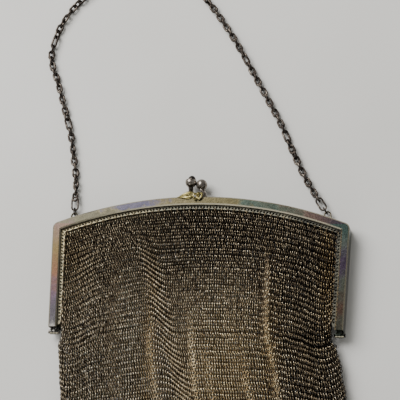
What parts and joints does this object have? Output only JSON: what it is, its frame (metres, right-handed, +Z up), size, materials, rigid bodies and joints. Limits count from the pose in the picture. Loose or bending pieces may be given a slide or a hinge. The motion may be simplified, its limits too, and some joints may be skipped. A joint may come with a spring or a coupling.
{
  "type": "metal mesh purse",
  "caption": "Flat ring-mesh purse with an arched two-part metal frame, a ball snap clasp and a carrying chain, lying on its back",
  "frame": {"origin": "on the frame's flat back face, in the middle of the bar at the crown of the arch", "axes": "+X along the frame to the wearer's left as the front faces up, +Y from the bag towards the chain, +Z up out of the front"},
  "size_m": [0.1632, 0.2712, 0.0123],
  "materials": {
    "tarnished_silver": "polished silver plate with rainbow tarnish",
    "rail_silver": "tarnished silver plate",
    "dark_steel": "blackened, worn bright on top",
    "worn_gold": "worn to the pale brass",
    "ring_mesh": "fine rings, oxidised dark brown",
    "chain_metal": "oxidised dark grey"
  },
  "bodies": {
    "root": {"frame_front": "tarnished_silver", "frame_back": "tarnished_silver", "rail_front": "rail_silver", "rail_back": "rail_silver", "hinge_pin_left": "dark_steel", "hinge_pin_right": "dark_steel", "clasp_front": "worn_gold", "clasp_back": "dark_steel", "mesh_bag": "ring_mesh", "eye_ring_left": "dark_steel", "eye_ring_right": "dark_steel", "end_link_left": "chain_metal", "end_link_right": "chain_metal", "chain": "chain_metal"}
  },
  "joints": []
}
